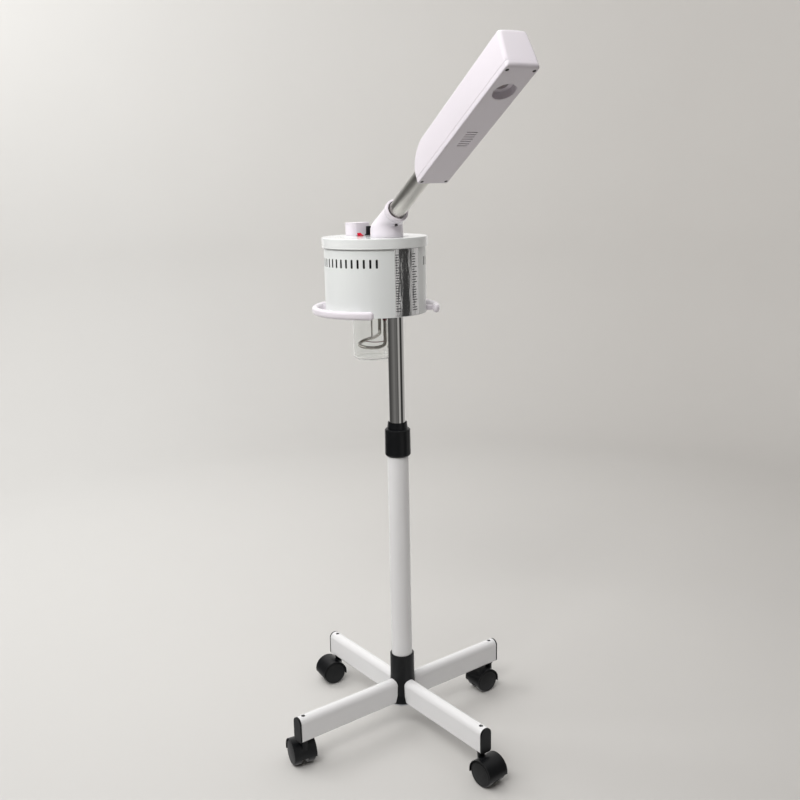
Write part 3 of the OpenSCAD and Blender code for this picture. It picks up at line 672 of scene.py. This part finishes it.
def shell(name, loop):
    """Closed thin shell between loop(y, 0) and loop(y, HEAD_WALL), open at the seam."""
    outer = [loop(y, 0.0) for y in head_stations(0.0)]
    inner = [loop(y, HEAD_WALL) for y in head_stations(HEAD_WALL)]
    verts = [p for ring in outer + inner for p in ring]
    n, count = len(outer[0]), len(outer)
    skin = lambda i, k: i * n + k
    lining = lambda i, k: (count + i) * n + k
    faces = []
    for i in range(count - 1):
        for k in range(n - 1):
            faces.append((skin(i, k), skin(i, k + 1), skin(i + 1, k + 1), skin(i + 1, k)))
            faces.append((lining(i, k), lining(i + 1, k), lining(i + 1, k + 1), lining(i, k + 1)))
        for k in (0, n - 1):
            faces.append((skin(i, k), skin(i + 1, k), lining(i + 1, k), lining(i, k)))
    for i in (0, count - 1):
        faces.append(tuple(skin(i, k) for k in range(n)))
        faces.append(tuple(lining(i, k) for k in range(n)))
        faces.append((skin(i, 0), lining(i, 0), lining(i, n - 1), skin(i, n - 1)))
    return finished_shell(add_mesh(name, verts, faces))


def finished_shell(obj):
    edit(obj, lambda bm: bmesh.ops.recalc_face_normals(bm, faces=bm.faces))
    return obj


def shade_smooth(obj, sharp=40):
    """Smooth shading with hard edges where the surface really turns."""

    def change(bm):
        bmesh.ops.remove_doubles(bm, verts=bm.verts, dist=2e-6)
        bmesh.ops.recalc_face_normals(bm, faces=bm.faces)
        for face in bm.faces:
            face.smooth = True
        for edge in sharp_edges(bm, sharp):
            edge.smooth = False

    edit(obj, change)
    return obj


def arm_rod(name, radius, x, y, low, high, steps=64):
    """Cutter that stands on the steam arm along its Z axis."""
    return rod(name, radius, high - low, Matrix.Translation((x, y, low)), steps)


def pipe_cutter(radius, start, end):
    place = Matrix.Translation((0, start, 0)) @ Matrix.Rotation(math.radians(-90), 4, "X")
    return rod("cutter", radius, end - start, place, 96)


OUTLET_BORE = 0.02002       # hole for the outlet cup
SCREW_PIT = 0.003
SCREW_HOLE = 0.0017
VENT_FROM_START = 0.133     # middle of the seven slots, from the near end of the head
VENT_PITCH = 0.0062


def steam_head():
    pipe_high = arm_box("steam_pipe")[1]
    outlet_low, outlet_high = arm_box("outlet_nozzle")
    outlet_y = (outlet_low.y + outlet_high.y) / 2
    screws_low, screws_high = arm_box("head_screws")
    screw_r = 0.0028
    hole = pipe_high.x + 0.00015
    start = HEAD_LOW.y
    cover = cut(shell("head_cover_shape", cover_loop), pipe_cutter(hole, start - 0.01, start + 0.04))
    tray = shell("head_base_shape", tray_loop)
    cutters = [pipe_cutter(hole, start - 0.01, start + 0.04)]
    low = HEAD_LOW.z
    cutters.append(arm_rod("cutter", OUTLET_BORE, 0, outlet_y, low - 0.005, low + 0.02, 96))
    for i in range(-3, 4):
        spot = Matrix.Translation((0, start + VENT_FROM_START + VENT_PITCH * i, low))
        cutters.append(box_mesh("cutter", (0.020, 0.0018, 0.02), spot))
    for x in (screws_low.x + screw_r, screws_high.x - screw_r):
        for y in (screws_low.y + screw_r, screws_high.y - screw_r):
            cutters.append(arm_rod("cutter", SCREW_PIT, x, y, low - 0.005, low + 0.0018, 32))
            cutters.append(arm_rod("cutter", SCREW_HOLE, x, y, low - 0.005, low + 0.01, 32))
    cut(tray, *cutters)
    for obj, node in ((cover, "head_cover"), (tray, "head_base")):
        obj.data.transform(ARM)
        stand_for(shade_smooth(obj), node)


# ---------- steam elbow ----------

# Side view of the elbow in millimetres above the lid: (back, up), (front, up), half width
ELBOW_RIBS = [
    ((-20.5, -21), (20.5, -21), 20.5), ((-20.5, 0.1), (20.5, 0.1), 20.5),
    ((-30.6, 0.1), (30.6, 0.1), 30.6), ((-31, 0.6), (31, 0.6), 31), ((-31, 9), (31, 9), 31),
    ((-30.4, 15), (31, 15), 31), ((-28.0, 20.5), (31.1, 19), 30.4),
    ((-23.6, 26.2), (32.0, 21.4), 29.0), ((-17.4, 32.4), (34.2, 22.9), 27.0),
    ((-10.0, 38.6), (37.2, 23.9), 24.8), ((-1.4, 45.2), (40.2, 24.7), 22.8),
    ((8.4, 51.8), (42.8, 25.4), 21.4), ((19.2, 58.4), (45.2, 26.4), 20.7)
]
# The lip round the pipe: (distance along the arm, radius), millimetres
ELBOW_LIP = [(41.5, 20.7), (43.2, 21.2), (44.0, 22.0), (45.2, 22.5), (50.5, 22.5), (52.2, 22.0),
             (53.0, 20.6)]
ELBOW_BORE = 0.0160
ELBOW_RECESS = 0.0182
ELBOW_SCREW_Y = 0.034


def elbow():
    """Round foot that bends over into the neck that holds the pipe."""
    steps = 96
    foot = Matrix.Translation((ELBOW.x, ELBOW.y, LID_TOP))
    ahead = (ARM.to_3x3() @ Vector((0, 1, 0)))
    ahead.z = 0
    ahead.normalize()
    aside = ahead.cross(UP)
    rings = []
    for back, front, half in ELBOW_RIBS:
        a = foot @ (MM * (back[0] * ahead + back[1] * UP))
        b = foot @ (MM * (front[0] * ahead + front[1] * UP))
        rings.append(((a + b) / 2, (b - a) / 2, half * MM * aside))
    across = ARM.to_3x3() @ Vector((0, 0, -1))
    for y, radius in ELBOW_LIP:
        centre = ARM @ Vector((0, y * MM, 0))
        rings.append((centre, radius * MM * across, radius * MM * aside))
    verts, faces = [], []
    for centre, u, v in rings:
        for k in range(steps):
            angle = 2 * math.pi * k / steps
            verts.append(centre + math.cos(angle) * u + math.sin(angle) * v)
    for i in range(len(rings) - 1):
        for k in range(steps):
            n = (k + 1) % steps
            faces.append((i * steps + k, i * steps + n, (i + 1) * steps + n, (i + 1) * steps + k))
    faces.append(tuple(range(steps)))
    faces.append(tuple((len(rings) - 1) * steps + k for k in range(steps)))
    obj = add_mesh("elbow_shape", verts, faces)
    edit(obj, lambda bm: bmesh.ops.recalc_face_normals(bm, faces=bm.faces))
    low = foot @ Matrix.Translation((0, 0, -0.03))
    pipe_r = arm_box("steam_pipe")[1].x + 0.00005
    cutters = [rod("cutter", ELBOW_BORE, 0.048, low), pipe_cutter(pipe_r, 0.004, 0.06),
               pipe_cutter(ELBOW_RECESS, 0.049, 0.06),
               arm_rod("cutter", 0.0034, 0, ELBOW_SCREW_Y, -0.04, -0.02095, 32),
               arm_rod("cutter", 0.00202, 0, ELBOW_SCREW_Y, -0.04, 0, 32)]
    for cutter in cutters[1:]:
        cutter.data.transform(ARM)
    cut(obj, *cutters)
    stand_for(shade_smooth(obj), "steam_elbow")


# ---------- boiler ----------

COIL_ROD_R = 0.0033
LEAD_X = 0.007
LEAD_Y = -0.0257            # leads in the boiler cap, from the jar axis
COIL_RISE = 0.009           # lowest point of the turn above the lowest point of the CAD coil
# Bend of the rod from lead to lead: millimetres from the jar axis, height above the turn
COIL_BEND = [
    (-4, -28.5, 34), (-1.5, -24, 26.5), (1, -7, 18), (-3, 11, 12), (-13, 16.5, 8),
    (-23.5, 12.5, 4.5), (-27.5, 2.5, 2), (-25.5, -10.5, 0.5), (-17, -22.5, 0), (-6.5, -29, 1),
    (3, -31, 4), (7, -30.5, 10), (7, -30.5, 28)
]
WIRE_BEND = [
    (-13.5, 5, 9.5), (-6, -8, 8.5), (1.5, -21, 9.5), (7, -29, 12)
]


def heating_coil():
    """One open turn of chrome rod that falls from one lead and rises to the other."""
    cap_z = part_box("boiler_cap")[1].z
    low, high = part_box("heating_element")
    turn = Vector((JAR.x, JAR.y, low.z + COIL_RISE))

    def lead(side, z):
        return Vector((JAR.x + side * LEAD_X, JAR.y + LEAD_Y, z))

    bend = [turn + MM * Vector(p) for p in COIL_BEND]
    straight = 0.022
    first = [lead(-1, high.z - 0.0002), lead(-1, cap_z), bend[0] + straight * UP]
    last = [bend[-1] + straight * UP, lead(1, cap_z), lead(1, high.z - 0.0002)]
    obj = tube("coil_shape", smooth_path(first + bend + last, 8), COIL_ROD_R, 20)
    stand_for(shade_smooth(obj, 60), "heating_element")
    body = NODES["heating_element"]["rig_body"]
    for start in (bend[0], bend[-1]):
        path = [start + 0.024 * UP, start + 0.044 * UP]
        sleeve = tube("coil_sleeve", path, COIL_ROD_R + 0.0007, 20)
        add_detail(shade_smooth(sleeve, 60), body, "red_plastic")
    wire = tube("coil_wire", smooth_path([turn + MM * Vector(p) for p in WIRE_BEND], 6), 0.0008, 10)
    add_detail(shade_smooth(wire, 60), body, "red_plastic")


# ---------- rounded copies ----------

# Node: (width of the rounding in millimetres, segments, angle from which an edge is rounded)
ROUNDED = {
    "base_arms": (0.5, 2, 40), "arm_end_caps": (1.2, 3, 40), "hub_socket": (0.8, 3, 34),
    "lock_collar": (1.0, 3, 30), "outer_tube": (0.4, 2, 40), "body_shell": (0.25, 2, 40),
    "lid": (0.5, 3, 34), "wiring_cover": (2.6, 4, 40), "switch_frame": (0.35, 2, 40),
    "power_rocker": (0.5, 3, 25), "timer_knob": (0.35, 2, 34), "outlet_nozzle": (0.3, 2, 40),
    "jar_mount": (0.6, 3, 40), "power_inlet": (0.6, 2, 40),
}
CASTER_HOOD_ROUND = (0.7, 3, 34)
CASTER_WHEEL_ROUND = (0.4, 2, 30)


def rounded_copies():
    jobs = dict(ROUNDED)
    for corner in CORNERS:
        jobs["caster_hood_" + corner] = CASTER_HOOD_ROUND
        jobs["caster_wheels_" + corner] = CASTER_WHEEL_ROUND
    for node, (width, segments, sharp) in jobs.items():
        rounded_copy(node, width * MM, segments, sharp)


# ---------- studio ----------


VIEW_TURN = math.radians(37)    # camera azimuth, to the left of the front
TOWARDS = Vector((math.sin(VIEW_TURN), math.cos(VIEW_TURN), 0))     # from the camera
SIDEWAYS = Vector((math.cos(VIEW_TURN), -math.sin(VIEW_TURN), 0))   # right in the picture
# painted light: the paper is lighter on the left and darker on the right, as if lit from the left
PAPER_LIT_LEFT = (0.69, 0.685, 0.672)
PAPER_SHADED_RIGHT = (0.615, 0.60, 0.58)
FLOOR_SHARE = 0.90          # painted shade: the floor is a little darker than the wall


def backdrop():
    """Round seamless backdrop: a flat floor that curves up into a wall, with painted light and shade in its
    colour.
    """
    floor_r, curve_r, wall_h = 2.3, 0.8, 3.2
    profile = [(0, 0)] + [(floor_r * k / 6, 0) for k in range(1, 6)]
    profile += [(x, z) for x, z in arc((floor_r, curve_r), curve_r, -90, 0, 16)]
    profile += [(floor_r + curve_r, curve_r + (wall_h - curve_r) * k / 4) for k in range(1, 5)]
    obj = revolved("backdrop", profile, None, 128, False)
    for face in obj.data.polygons:
        face.use_smooth = True
    s = Surface("backdrop_paper")
    aside = s.add("ShaderNodeVectorMath", operation="DOT_PRODUCT")
    s.link(s.place, aside.inputs[0])
    aside.inputs[1].default_value = SIDEWAYS
    # painted light and shade: lighter to the left, darker to the right
    tone = s.mix(s.spread(aside.outputs["Value"], -1.3, 1.3, 0, 1), PAPER_LIT_LEFT, PAPER_SHADED_RIGHT)
    axis = s.add("ShaderNodeSeparateXYZ")
    s.link(s.place, axis.inputs["Vector"])
    # painted shade: the floor is darkened, fading out up to 0.9 m
    on_floor = s.spread(axis.outputs["Z"], 0.0, 0.9, 1 - FLOOR_SHARE, 0)
    tone = s.mix(on_floor, tone, (0.0, 0.0, 0.0))
    s.color(s.mix(s.spread(s.noise(1.3, 3), 0.3, 0.7, 0, 0.05), tone, (0.5, 0.5, 0.5)))
    s.rough(s.spread(s.noise(3, 3), 0.3, 0.7, 0.75, 0.9))
    s.bump(s.noise(60, 4), 0.02, 0.001)
    obj.data.materials.append(s.material)
    obj.visible_glossy = False


def area_light(name, spot, target, size, power, color):
    light = bpy.data.lights.new(name, "AREA")
    light.shape = "RECTANGLE"
    light.size, light.size_y = size
    light.energy = power
    light.color = color
    obj = bpy.data.objects.new(name, light)
    obj.location = spot
    obj.rotation_mode = "QUATERNION"
    obj.rotation_quaternion = (Vector(target) - Vector(spot)).to_track_quat("-Z", "Y")
    obj.visible_glossy = False
    bpy.context.scene.collection.objects.link(obj)
    return obj


def lights():
    """Window on the left, a wash over the wall behind, and soft light from above and in front."""
    middle_of_object = COLUMN + Vector((0, 0, 0.3))
    spot = COLUMN - 0.7 * TOWARDS - 1.9 * SIDEWAYS
    area_light("window", (spot.x, spot.y, 1.9), middle_of_object, (1.5, 1.5), 26, (1, 0.995, 0.98))
    spot = COLUMN + 0.9 * TOWARDS - 1.9 * SIDEWAYS
    goal = COLUMN + 3.0 * TOWARDS - 0.9 * SIDEWAYS
    area_light("wall_wash", (spot.x, spot.y, 2.6), (goal.x, goal.y, 1.0), (1.2, 1.2), 32,
               (1, 0.995, 0.985))
    area_light("ceiling", (COLUMN.x - 0.2, COLUMN.y + 0.5, 3.1), COLUMN, (2.4, 2.4), 21,
               (1, 0.985, 0.965))
    spot = COLUMN - 1.9 * TOWARDS - 0.7 * SIDEWAYS
    area_light("front", (spot.x, spot.y, 2.6), COLUMN + Vector((0, 0, 0.5)), (1.4, 1.0), 50,
               (1, 0.99, 0.975))


def room_card():
    """Dark side of the room behind the camera: it keeps light off the undersides."""
    radius, height, half_angle, steps = 2.15, 2.3, math.radians(85), 24
    verts = []
    for k in range(steps + 1):
        angle = half_angle * (2 * k / steps - 1)
        spot = COLUMN + radius * (math.sin(angle) * SIDEWAYS - math.cos(angle) * TOWARDS)
        verts += [(spot.x, spot.y, 0.0), (spot.x, spot.y, height)]
    faces = [(2 * k, 2 * k + 2, 2 * k + 3, 2 * k + 1) for k in range(steps)]
    obj = add_mesh("room_card", verts, faces)
    s = Surface("room_cloth")
    s.color(s.mix(s.noise(2, 3), (0.10, 0.09, 0.085), (0.15, 0.135, 0.125)))
    s.rough(s.spread(s.noise(9, 3), 0.3, 0.7, 0.8, 0.95))
    obj.data.materials.append(s.material)
    obj.visible_camera = False
    obj.visible_glossy = False


# What mirror-like surfaces see round the room: (azimuth in degrees from +X, brightness)
ROOM_AROUND = [
    (-180, 0.20), (-155, 0.24), (-138, 0.16), (-127, 0.18), (-111, 0.12), (-103, 0.15),
    (-99, 0.50), (-78, 0.55), (-72, 0.10), (-66, 0.04), (-44, 0.04), (-36, 0.42), (4, 0.60),
    (30, 0.85), (85, 0.85), (95, 0.50), (105, 0.13), (134, 0.08), (155, 0.12), (173, 0.16)
]


def mirror_room():
    """Round wall that only mirror-like surfaces see: window, wall and dark furniture."""
    radius, low, high, steps = 2.05, -0.8, 2.6, 64
    obj = revolved("mirror_room", [(radius, low), (radius, high)],
                   Matrix.Translation((COLUMN.x, COLUMN.y, 0)), steps, False)
    s = Surface("mirror_room")
    axis = s.add("ShaderNodeSeparateXYZ")
    s.link(s.place, axis.inputs["Vector"])
    azimuth = s.math("ARCTAN2", s.math("SUBTRACT", axis.outputs["Y"], COLUMN.y),
                     s.math("SUBTRACT", axis.outputs["X"], COLUMN.x))
    ramp = s.add("ShaderNodeValToRGB")
    s.link(s.math("ADD", s.math("DIVIDE", azimuth, 2 * math.pi), 0.5), ramp.inputs["Fac"])
    stops = ramp.color_ramp.elements
    while len(stops) > 1:
        stops.remove(stops[-1])
    for index, (degrees, value) in enumerate(ROOM_AROUND):
        stop = stops[0] if index == 0 else stops.new((degrees + 180) / 360)
        stop.color = (value, value * 0.98, value * 0.96, 1)
    glow = s.add("ShaderNodeEmission")
    s.link(ramp.outputs["Color"], glow.inputs["Color"])
    s.link(glow.outputs["Emission"], s.output.inputs["Surface"])
    obj.data.materials.append(s.material)
    obj.visible_camera = False
    obj.visible_diffuse = False
    obj.visible_transmission = False
    obj.visible_shadow = False


AMBIENT = 0.55


def surroundings():
    """Soft white light from all round."""
    world = bpy.data.worlds.new("room")
    world.use_nodes = True
    bpy.context.scene.world = world
    background = world.node_tree.nodes["Background"]
    background.inputs["Color"].default_value = (1, 0.99, 0.98, 1)
    background.inputs["Strength"].default_value = AMBIENT


CAMERA_BACK = 1.779
CAMERA_UP = 1.100
CAMERA_PITCH = math.radians(12.88)
CAMERA_YAW = math.radians(0.19)
CAMERA_ROLL = math.radians(-1.12)


def camera():
    data = bpy.data.cameras.new("camera")
    data.sensor_width = 36
    data.lens = 42.5
    data.clip_start = 0.05
    obj = bpy.data.objects.new("camera", data)
    bpy.context.scene.collection.objects.link(obj)
    ahead = math.cos(CAMERA_YAW) * TOWARDS + math.sin(CAMERA_YAW) * SIDEWAYS
    right = ahead.cross(UP).normalized()
    look = math.cos(CAMERA_PITCH) * ahead - math.sin(CAMERA_PITCH) * UP
    up = right.cross(look)
    tilted_right = math.cos(CAMERA_ROLL) * right + math.sin(CAMERA_ROLL) * up
    tilted_up = math.cos(CAMERA_ROLL) * up - math.sin(CAMERA_ROLL) * right
    turn = Matrix((tilted_right, tilted_up, -look)).transposed().to_4x4()
    spot = Vector((COLUMN.x, COLUMN.y, CAMERA_UP)) - CAMERA_BACK * TOWARDS
    obj.matrix_world = Matrix.Translation(spot) @ turn
    bpy.context.scene.camera = obj


# ---------- build ----------

steam_head()
elbow()
heating_coil()
rounded_copies()
paint_everything()
backdrop()
lights()
room_card()
mirror_room()
surroundings()
camera()
bpy.context.scene.view_settings.view_transform = "Standard"
